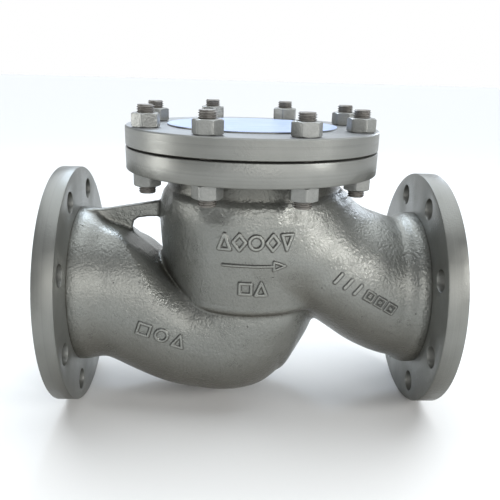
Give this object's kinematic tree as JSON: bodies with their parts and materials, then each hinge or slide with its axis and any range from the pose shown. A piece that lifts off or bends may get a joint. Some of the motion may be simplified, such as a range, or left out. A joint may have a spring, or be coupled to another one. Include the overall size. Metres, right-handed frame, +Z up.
{
  "type": "lift check valve",
  "caption": "Flanged horizontal lift check valve with a cast globe-pattern body, a bolted cover and a disc that lifts off its seat to pass flow one way.",
  "frame": {"origin": "on the surface that the two pipe flanges stand on, midway between the two pipe faces, under the flow axis, which is 150 mm up", "axes": "+X is the flow direction, from the inlet flange to the outlet flange, and +Z is up towards the cover"},
  "size_m": [0.48, 0.306, 0.3804],
  "materials": {
    "body_paint": "semi-gloss silver-grey paint over a cast surface",
    "cover_paint": "semi-gloss silver-grey paint over a turned surface",
    "nut_paint": "semi-gloss silver-grey paint",
    "film": "thin glossy pale blue film",
    "stud_steel": "dark oxidised thread",
    "trim_steel": "turned stainless steel",
    "hard_facing": "lapped hard ring",
    "bushing_steel": "honed bore",
    "gasket_filler": "wound steel strip with graphite filler"
  },
  "bodies": {
    "body": {"valve_body": "body_paint", "bonnet_cover": "cover_paint", "protective_film": "film", "bonnet_studs": "stud_steel", "upper_nuts": "nut_paint", "lower_nuts": "nut_paint", "seat_ring": "trim_steel", "guide_bushing": "bushing_steel", "bushing_set_screw": "stud_steel", "gasket_winding": "gasket_filler", "gasket_inner_ring": "trim_steel"},
    "disc": {"valve_disc": "trim_steel", "disc_seal_ring": "hard_facing"}
  },
  "joints": [
    {"name": "disc_lift", "type": "slide", "parent": "body", "child": "disc", "axis": [0, 0, 1], "range_m": [0, 0.038]}
  ]
}
